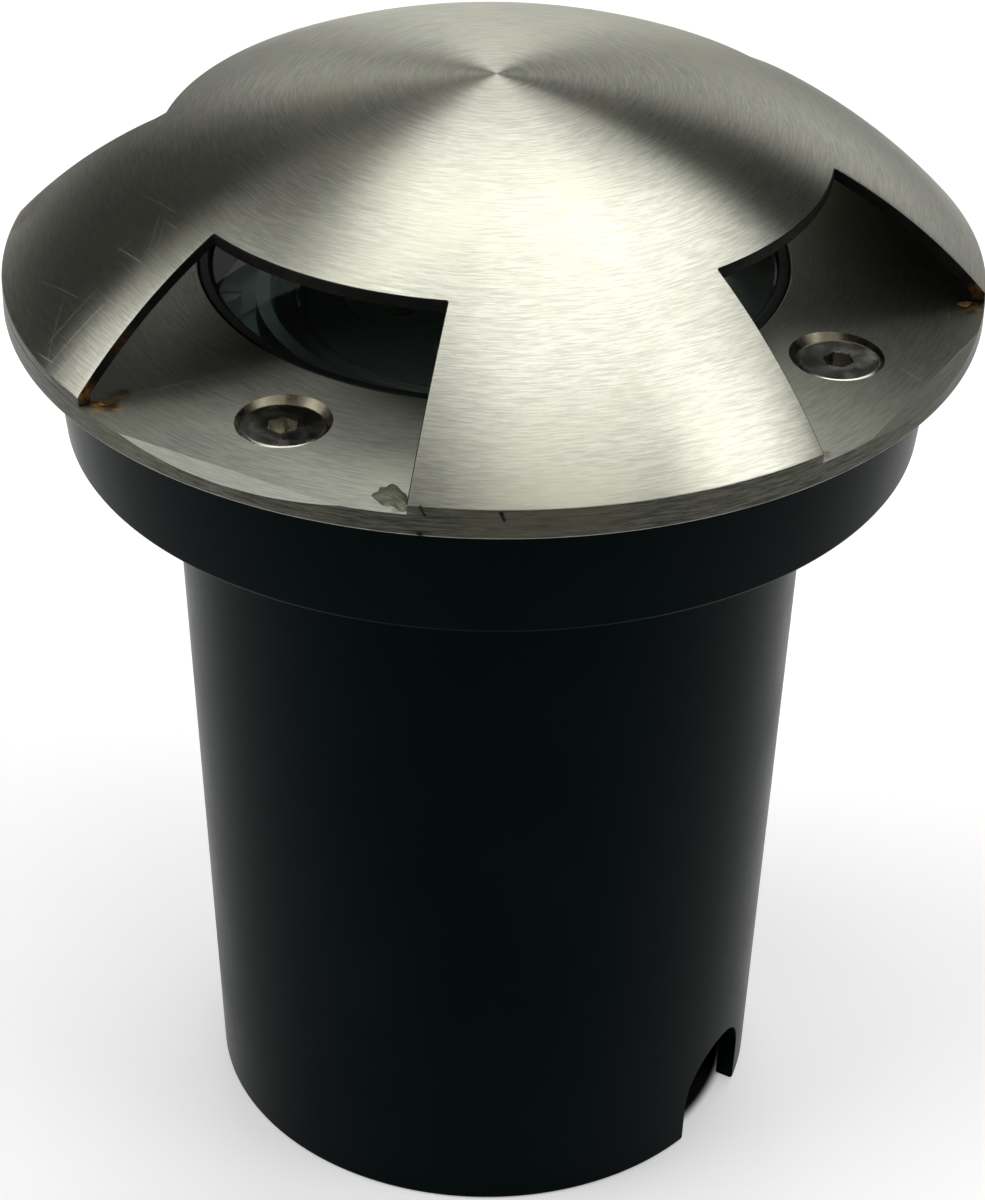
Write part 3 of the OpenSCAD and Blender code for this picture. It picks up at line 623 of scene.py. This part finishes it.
def hood_shape(inner_rows=30, outer_rows=16, window_cols=36, pillar_cols=40):
    """Domed sheet with a window cut through its shoulder on each side."""
    angles, open_col = [], []
    for w in range(WINDOWS):
        mid = w * 2 * math.pi / WINDOWS
        for i in range(window_cols):
            angles.append(mid - WINDOW_HALF + 2 * WINDOW_HALF * i / window_cols)
            open_col.append(True)
        span = 2 * math.pi / WINDOWS - 2 * WINDOW_HALF
        for i in range(pillar_cols):
            angles.append(mid + WINDOW_HALF + span * i / pillar_cols)
            open_col.append(False)
    n = len(angles)
    crown = [WINDOW_R * (i + 1) / inner_rows for i in range(inner_rows)]

    def side(foot_r, inset):
        """Rows of the outer or the inner face, from the apex to the foot."""
        skirt = [WINDOW_R + (foot_r - WINDOW_R) * (i + 1) / outer_rows for i in range(outer_rows)]
        return [(r, DOME_Z + arc_height(r, inset)) for r in crown + skirt] + [(foot_r, RIM_TOP_Z)]

    outer = side(RIM_R, 0.0)
    inner = side(FOOT_R, SHEET_T)
    verts, faces = [], []

    def lean(a, r):
        """The two sides of the front pillar lean away from the radius."""
        share = (r / WINDOW_R) ** 2 if r < WINDOW_R else (RIM_R - r) / (RIM_R - WINDOW_R)
        most = sum(tilt * max(0.0, 1 - abs(a - at) / LEAN_SPREAD) for at, tilt in LEANS)
        return a + share * most

    def row(r, z):
        verts.extend((r * math.cos(lean(a, r)), r * math.sin(lean(a, r)), z) for a in angles)
        return len(verts) - n

    top = [row(r, z) for r, z in outer]
    under = [row(r, z) for r, z in inner]
    verts.append((0, 0, DOME_Z + arc_height(0, 0.0)))
    apex = len(verts) - 1
    verts.append((0, 0, DOME_Z + arc_height(0, SHEET_T)))
    pit = len(verts) - 1
    last = len(outer) - 1
    edge = inner_rows - 1
    for i in range(n):
        j = (i + 1) % n
        faces.append((apex, top[0] + i, top[0] + j))
        faces.append((pit, under[0] + j, under[0] + i))
        for k in range(last):
            if k >= edge and open_col[i]:
                break
            faces.append((top[k] + i, top[k + 1] + i, top[k + 1] + j, top[k] + j))
            faces.append((under[k] + j, under[k + 1] + j, under[k + 1] + i, under[k] + i))
        if open_col[i]:
            faces.append((top[edge] + i, under[edge] + i, under[edge] + j, top[edge] + j))
        else:
            faces.append((top[last] + i, under[last] + i, under[last] + j, top[last] + j))
        if open_col[i] != open_col[i - 1]:
            for k in range(edge, last):
                faces.append((top[k] + i, top[k + 1] + i, under[k + 1] + i, under[k] + i))
    used = sorted({v for f in faces for v in f})
    index = {v: k for k, v in enumerate(used)}
    return [verts[v] for v in used], [tuple(index[v] for v in f) for f in faces]


def retint(piece, chosen, material):
    """Gives a material of their own to the faces that the test names."""
    piece.data.materials.append(material)
    for face in piece.data.polygons:
        if chosen(face.center / MM, face.normal):
            face.material_index = len(piece.data.materials) - 1


def cut_or_inner(centre, normal):
    """Faces below the hood's outside: the windows' cut edges and the underside, which get
    painted-shade colours.
    """
    r = math.hypot(centre.x, centre.y)
    if r > RIM_R - 0.1:
        return False
    outside = DOME_Z + arc_height(min(r, RIM_R), 0.0)
    return centre.z < outside - 0.012


def upright(centre, normal):
    """The cover's outer edge, which gets the painted-shade edge steel."""
    return math.hypot(centre.x, centre.y) > RIM_R - 0.25 and abs(normal.z) < 0.5


hood = build("hood", *hood_shape(), "dome_hood", 40.0, STEEL)
bevel(hood, 0.12, 40.0)
retint(hood, cut_or_inner, SHADED_CUT_STEEL)
retint(hood, lambda c, n: cut_or_inner(c, n) and n.z < -0.5, SHADED_UNDERSIDE_STEEL)
retint(hood, upright, SHADED_EDGE_STEEL)
dress(hood)

# ------------------------------------------------------------------ ring

ring_profile = rounded([
    (RING_HOLE_R, COVER_Z, 0.2), (RIM_R, COVER_Z, 0.35), (RIM_R, RIM_TOP_Z, 0.0),
    (RING_LAND_R, RIM_TOP_Z, 0.0), (RING_HOLE_R, HOLE_TOP_Z, 0.25)])
ring = build("ring", *lathe(ring_profile, 360), "cover_ring", 18.0, SHADED_RING_STEEL)
sink = lathe([(0.0, COVER_Z - 1), (HOLE_R, COVER_Z - 1), (HOLE_R, SINK_FOOT_Z),
              (SINK_TOP_R, SINK_TOP_Z), (0.0, SINK_TOP_Z)], 72, False)
above = box(-25, 25, -30, 30, 0, 5)
slope = Matrix.Rotation(FACET_SLOPE, 4, "Y")
tools = []
for w in range(WINDOWS):
    a = w * math.pi / 2
    tools.append(cutter(*move(sink, around(a, SCREW_CIRCLE))))
    tools.append(cutter(*move(above, around(a, RIM_R, 0, RIM_TOP_Z - FACET_DEPTH) @ slope)))
cut(ring, tools)
retint(ring, upright, SHADED_EDGE_STEEL)
retint(ring, lambda c, n: math.hypot(c.x, c.y) > 50 and 0.84 < n.z < 0.92, FACET_STEEL)
retint(ring, lambda c, n: 36 < math.hypot(c.x, c.y) < 50 and 0.3 < n.z < 0.84, SHADED_SINK_STEEL)
dress(ring)

# ----------------------------------------------------------------- welds

def lump(long, wide, high, seed, rings=10, cols=28):
    """Flattened weld mark with an uneven outline, its foot a little below zero."""
    verts, rows = [(0.0, 0.0, high)], [[0]]
    for k in range(1, rings + 1):
        t = k / rings * 1.25
        reach = min(t, 1.06)
        rows.append([])
        for c in range(cols):
            a = 2 * math.pi * c / cols
            wave = 1 + 0.16 * math.sin(3 * a + seed) + 0.1 * math.sin(7 * a + 2.3 * seed)
            pit = 0.1 * high * math.sin(5 * a + 9 * t + seed)
            z = high * (1 - t ** 2.4) + (pit if k < rings else 0.0)
            rows[-1].append(len(verts))
            verts.append((long * wave * reach * math.cos(a), wide * wave * reach * math.sin(a), z))
    faces = [(0, rows[1][c], rows[1][(c + 1) % cols]) for c in range(cols)]
    for a, b in zip(rows[1:-1], rows[2:]):
        faces += [(a[c], b[c], b[(c + 1) % cols], a[(c + 1) % cols]) for c in range(cols)]
    faces.append(tuple(reversed(rows[-1])))
    return verts, faces


lumps = []
for w in range(WINDOWS):
    for side in (-1, 1):
        size = 2.7 if (w, side) == (3, 1) else 0.9
        at = w * math.pi / 2 + side * (WINDOW_HALF - math.radians(0.75 * size))
        foot = around(at, 53.2 - 0.4 * size, 0, RIM_TOP_Z) @ Matrix.Rotation(side * 0.7, 4, "Z")
        lumps.append(move(lump(size, size * 0.6, 0.1 * size, w * 2 + side), foot))
welds = build("welds", *joined(lumps), "cover_ring", 50.0, WELD_STEEL)
dress(welds)

# ---------------------------------------------------------- glass, gasket

glass = build("glass", *lathe([
    (0.0, GLASS_FOOT_Z), (GLASS_FLANGE_R - 0.4, GLASS_FOOT_Z),
    (GLASS_FLANGE_R, GLASS_FOOT_Z + 0.4), (GLASS_FLANGE_R, GLASS_STEP_Z - 0.1),
    (GLASS_FLANGE_R - 0.1, GLASS_STEP_Z), (GLASS_R, GLASS_STEP_Z), (GLASS_R, GLASS_TOP_Z - 0.4),
    (GLASS_R - 0.1, GLASS_TOP_Z - 0.15), (GLASS_R - 0.35, GLASS_TOP_Z), (0.0, GLASS_TOP_Z)],
    256, False), "glass_lens", 30.0, MATERIALS["clear_glass"])
dress(glass)

gasket = build("gasket", *lathe(rounded([
    (GASKET_LIP_R, GASKET_FOOT_Z, 0.2), (GASKET_R, GASKET_FOOT_Z, 0.4), (GASKET_R, COVER_Z, 0.0),
    (GASKET_NECK_R, COVER_Z, 0.0), (GASKET_NECK_R, GASKET_TOP_Z, 0.3),
    (GLASS_R, GASKET_TOP_Z, 0.35), (GLASS_R, GLASS_STEP_Z, 0.0),
    (GLASS_FLANGE_R, GLASS_STEP_Z, 0.0), (GLASS_FLANGE_R, GLASS_FOOT_Z, 0.0),
    (GASKET_LIP_R, GLASS_FOOT_Z, 0.2)]), 256),
    "lens_gasket", 40.0, MATERIALS["black_rubber"])
dress(gasket)

# ---------------------------------------------------------------- screws

def screw_shape(cols=48, steps=72):
    """Countersunk screw with a real thread, where the rows that have no radius lie."""
    rows = [(0.0, 0.0)]
    rows += [(2.15 + 0.08 * k, 0.004 * math.sin(k * 1.9)) for k in range(26)]
    rows += [(4.3, 0.0), (4.5, -0.07), (4.68, -0.24), (4.66, -0.36), (2.6, -2.3), (SCREW_R, -2.6)]
    rows += [(None, -2.8 + (3.2 - SCREW_LENGTH) * i / steps) for i in range(steps + 1)]
    rows += [(1.9, -SCREW_LENGTH), (0.0, -SCREW_LENGTH)]
    verts, index = [], []
    for r, z in rows:
        if r == 0.0:
            index.append([len(verts)])
            verts.append((0.0, 0.0, z))
            continue
        index.append(list(range(len(verts), len(verts) + cols)))
        for c in range(cols):
            a = 2 * math.pi * c / cols
            here = r
            if r is None:
                phase = (z / THREAD_PITCH - c / cols) % 1.0
                here = SCREW_R - THREAD_DEPTH * abs(2 * phase - 1)
            verts.append((here * math.cos(a), here * math.sin(a), z))
    faces = []
    for low, high in zip(index[:-1], index[1:]):
        for c in range(cols):
            d = (c + 1) % cols
            if len(low) == 1:
                faces.append((low[0], high[c], high[d]))
            elif len(high) == 1:
                faces.append((low[c], high[0], low[d]))
            else:
                faces.append((low[c], high[c], high[d], low[d]))
    return verts, faces


screw_tops = [around(w * math.pi / 2, SCREW_CIRCLE, 0, SCREW_TOP_Z) for w in range(WINDOWS)]
screws = build("screws", *joined([move(screw_shape(), top) for top in screw_tops]),
               "cover_screws", 32.0, MATERIALS["screw_steel"])
sockets = []
for top, spin in zip(screw_tops, HEX_SPINS):
    hexagon = [polar(HEX_R, 60 * k + spin, 0.0)[:2] for k in range(6)]
    sockets.append(move(prism(hexagon, -HEX_DEPTH, 1.0), top))
cut(screws, [cutter(*joined(sockets))])


def in_socket(centre, normal):
    """The walls of the screws' hexagon sockets."""
    near = min((centre - top.translation).xy.length for top in screw_tops)
    depth = SCREW_TOP_Z - centre.z
    return near < 1.8 and 0.05 < depth < 2.0 and abs(normal.z) < 0.2


retint(screws, in_socket, SHADED_SOCKET_STEEL)
dress(screws)

# ------------------------------------------------------------------ lamp

shell = build("lamp_shell", *lathe(rounded([
    (0.0, LAMP_FOOT_Z, 0.0), (9.59, LAMP_FOOT_Z, 0.4), (9.59, 72.64, 0.5), (15.21, 78.34, 0.6),
    (23.4, LAMP_FACE_Z, 0.0), (LAMP_R, LAMP_FACE_Z, 0.3), (LAMP_R, 101.5, 0.2), (24.0, 101.5, 0.1),
    (24.0, LAMP_TOP_Z, 0.25), (22.6, LAMP_TOP_Z, 0.25), (22.6, 101.0, 0.0), (21.4, 101.0, 0.15),
    (21.4, 97.8, 0.2), (0.0, 97.8, 0.0)]), 192, False),
    "lamp_body", 30.0, MATERIALS["lamp_aluminium"])
gap = box(11.0, 26.0, -0.7, 0.7, 69.64, 97.0)
pin = lathe([(0.0, 61.0), (0.75, 61.0), (0.75, 65.5), (0.0, 65.5)], 24, False)
slots = [move(gap, around(2 * math.pi * k / FINS)) for k in range(FINS)]
slots += [move(pin, around(0, x)) for x in (-PIN_X, PIN_X)]
cut(shell, [cutter(*joined(slots))])
retint(shell, lambda c, n: c.z > 97.9 and math.hypot(c.x, c.y) > 21.0, BEZEL)
dress(shell)

optics = [around(OPTIC_TURN + k * 2 * math.pi / OPTICS, OPTIC_CIRCLE) for k in range(OPTICS)]
plate = build("lamp_plate", *lathe(rounded([
    (0.0, 98.0, 0.0), (21.2, 98.0, 0.2), (21.2, 100.3, 0.3), (20.2, 100.3, 0.0),
    (19.9, LAMP_FACE_Z, 0.0), (15.7, LAMP_FACE_Z, 0.0), (15.6, 100.15, 0.0), (0.0, 100.15, 0.0)]),
    192, False), "lamp_body", 25.0, PAINTED_LIGHT_PLATE)
well = lathe([(0.0, 98.6), (OPTIC_R, 98.6), (OPTIC_R, 101.0), (0.0, 101.0)], 64, False)
wells = [move(well, optic) for optic in optics]
dimple = lathe([(0.0, -0.22), (0.28, 0.0), (0.28, 0.3), (0.0, 0.3)], 8, False)
dimples = [move(dimple, around(2 * math.pi * (k + row / 2) / DIMPLES, r, 0, LAMP_FACE_Z))
           for row, r in enumerate((17.0, 18.3)) for k in range(DIMPLES)]
cut(plate, [cutter(*joined(wells)), cutter(*joined(dimples))])
dress(plate)

cup = lathe([(0.0, 98.65), (6.25, 98.65), (6.25, 100.3), (5.95, 100.35), (4.4, 99.7), (2.4, 99.0),
             (0.0, 98.95)], CUP_FACETS, False)
cups = build("lamp_reflectors", *joined([move(cup, optic) for optic in optics]),
             "lamp_body", 8.0, CHROME)
dress(cups)
drop = [polar(1.0, 11.25 * k, 0.0) for k in range(8)]
led = lathe([(0.0, 98.9)] + [(1.7 * x, 98.95 + 1.1 * y) for x, y, _ in drop] + [(0.0, 100.05)],
            32, False)
chips = build("lamp_leds", *joined([move(led, optic) for optic in optics]),
              "lamp_lens", 40.0, PHOSPHOR)
dress(chips)
cover_disc = build("lamp_glass", *lathe(rounded([
    (0.0, 101.0, 0.0), (LAMP_GLASS_R, 101.0, 0.15), (LAMP_GLASS_R, 102.2, 0.3),
    (0.0, 102.2, 0.0)]), 128, False), "lamp_lens", 30.0, MATERIALS["lamp_lens"])
dress(cover_disc)

# ---------------------------------------------------------------- sleeve

sleeve_profile = rounded([
    (31.2, 0.0, 0.25), (33.5, 0.0, 0.5), (37.1, STEP_Z, 0.5), (48.8, STEP_Z, 0.6),
    (50.4, SLEEVE_H, 0.45), (48.6, SLEEVE_H, 0.3), (47.23, SHELF_Z, 0.4),
    (34.8, SHELF_Z, 0.3)], 5)
sleeve = build("sleeve", *lathe(sleeve_profile, 360), "mounting_sleeve", 30.0,
               MATERIALS["sleeve_plastic"])
arch = [(-NOTCH_R, -1.0), (NOTCH_R, -1.0)]
arch += [(x, NOTCH_H - NOTCH_R + y)
         for x, y, _ in (polar(NOTCH_R, 180 * k / 32, 0.0) for k in range(33))]
verts, faces = prism(arch, 20.0, 45.0)
tunnel = ([(z, x, y) for x, y, z in verts], faces)
cut(sleeve, [cutter(*move(tunnel, around(side))) for side in (0, math.pi)])
bevel(sleeve, 0.25, 40.0)
dress(sleeve)

# -------------------------------------------------------- carried-over nodes

for name, node in NODES.items():
    if node.hide_render:
        continue
    for s in node.material_slots:
        s.material = MATERIALS[SLOT_OF[name]]

# ----------------------------------------------------------------- studio

paint = Paint("floor_white")
grain = paint.noise(paint.place, 40.0, 3.0)
fade = paint.ramp(paint.distance(paint.place, FLOOR_MIDDLE), FLOOR_NEAR, FLOOR_FAR)
pale = paint.mix(grain, rgba(0.87, 0.87, 0.87), rgba(0.9, 0.9, 0.9))
# Painted shadow: inside the sleeve's foot the floor gets a near-black colour and no glow.
painted_shadow = paint.ramp(paint.distance(paint.place), FLOOR_SHADOW_R, FLOOR_SHADOW_R + 0.0015, 1.0, 0.0)
tone = paint.mix(painted_shadow, paint.mix(fade, pale, rgba(0.25, 0.25, 0.25)), rgba(0.01, 0.011, 0.011))
seen = paint.add("ShaderNodeLightPath").outputs
show = paint.math("MAXIMUM", paint.math("MAXIMUM", seen["Is Camera Ray"], seen["Is Glossy Ray"]),
                  seen["Is Transmission Ray"])
whiten = paint.math("MULTIPLY", paint.ramp(fade, 0.0, 1.0, FLOOR_GLOW, 0.0),
                    paint.math("SUBTRACT", 1.0, painted_shadow))
paint.set(Base_Color=tone, Roughness=0.9, Specular_IOR_Level=0.0,
          Emission_Color=rgba(1, 1, 1), Emission_Strength=paint.math("MULTIPLY", show, whiten))

floor_mesh = bpy.data.meshes.new("floor")
floor_mesh.from_pydata([(x * FLOOR_HALF, y * FLOOR_HALF, 0)
                        for x, y in ((-1, -1), (1, -1), (1, 1), (-1, 1))], [], [(0, 1, 2, 3)])
floor_mesh.materials.append(paint.mat)
floor = bpy.data.objects.new("floor", floor_mesh)
bpy.context.scene.collection.objects.link(floor)

world = bpy.data.worlds.new("studio")
bpy.context.scene.world = world
world.use_nodes = True
sky = Paint(None, world.node_tree)
way = sky.add("ShaderNodeTexCoord").outputs["Generated"]
glow = SKY_GLOW
for azimuth, height, outer, inner, bright in LAMPS:
    toward = polar(math.cos(math.radians(height)), azimuth, math.sin(math.radians(height)))
    lamp = sky.ramp(sky.dot(way, toward), math.cos(math.radians(outer)),
                    math.cos(math.radians(inner)), 0.0, bright)
    glow = sky.math("ADD", glow, lamp)
backdrop = sky.add("ShaderNodeBackground", {"Color": rgba(1, 1, 1), "Strength": glow})
sky.link(backdrop.outputs[0], sky.add("ShaderNodeOutputWorld").inputs[0])

bpy.context.scene.view_settings.view_transform = "Standard"
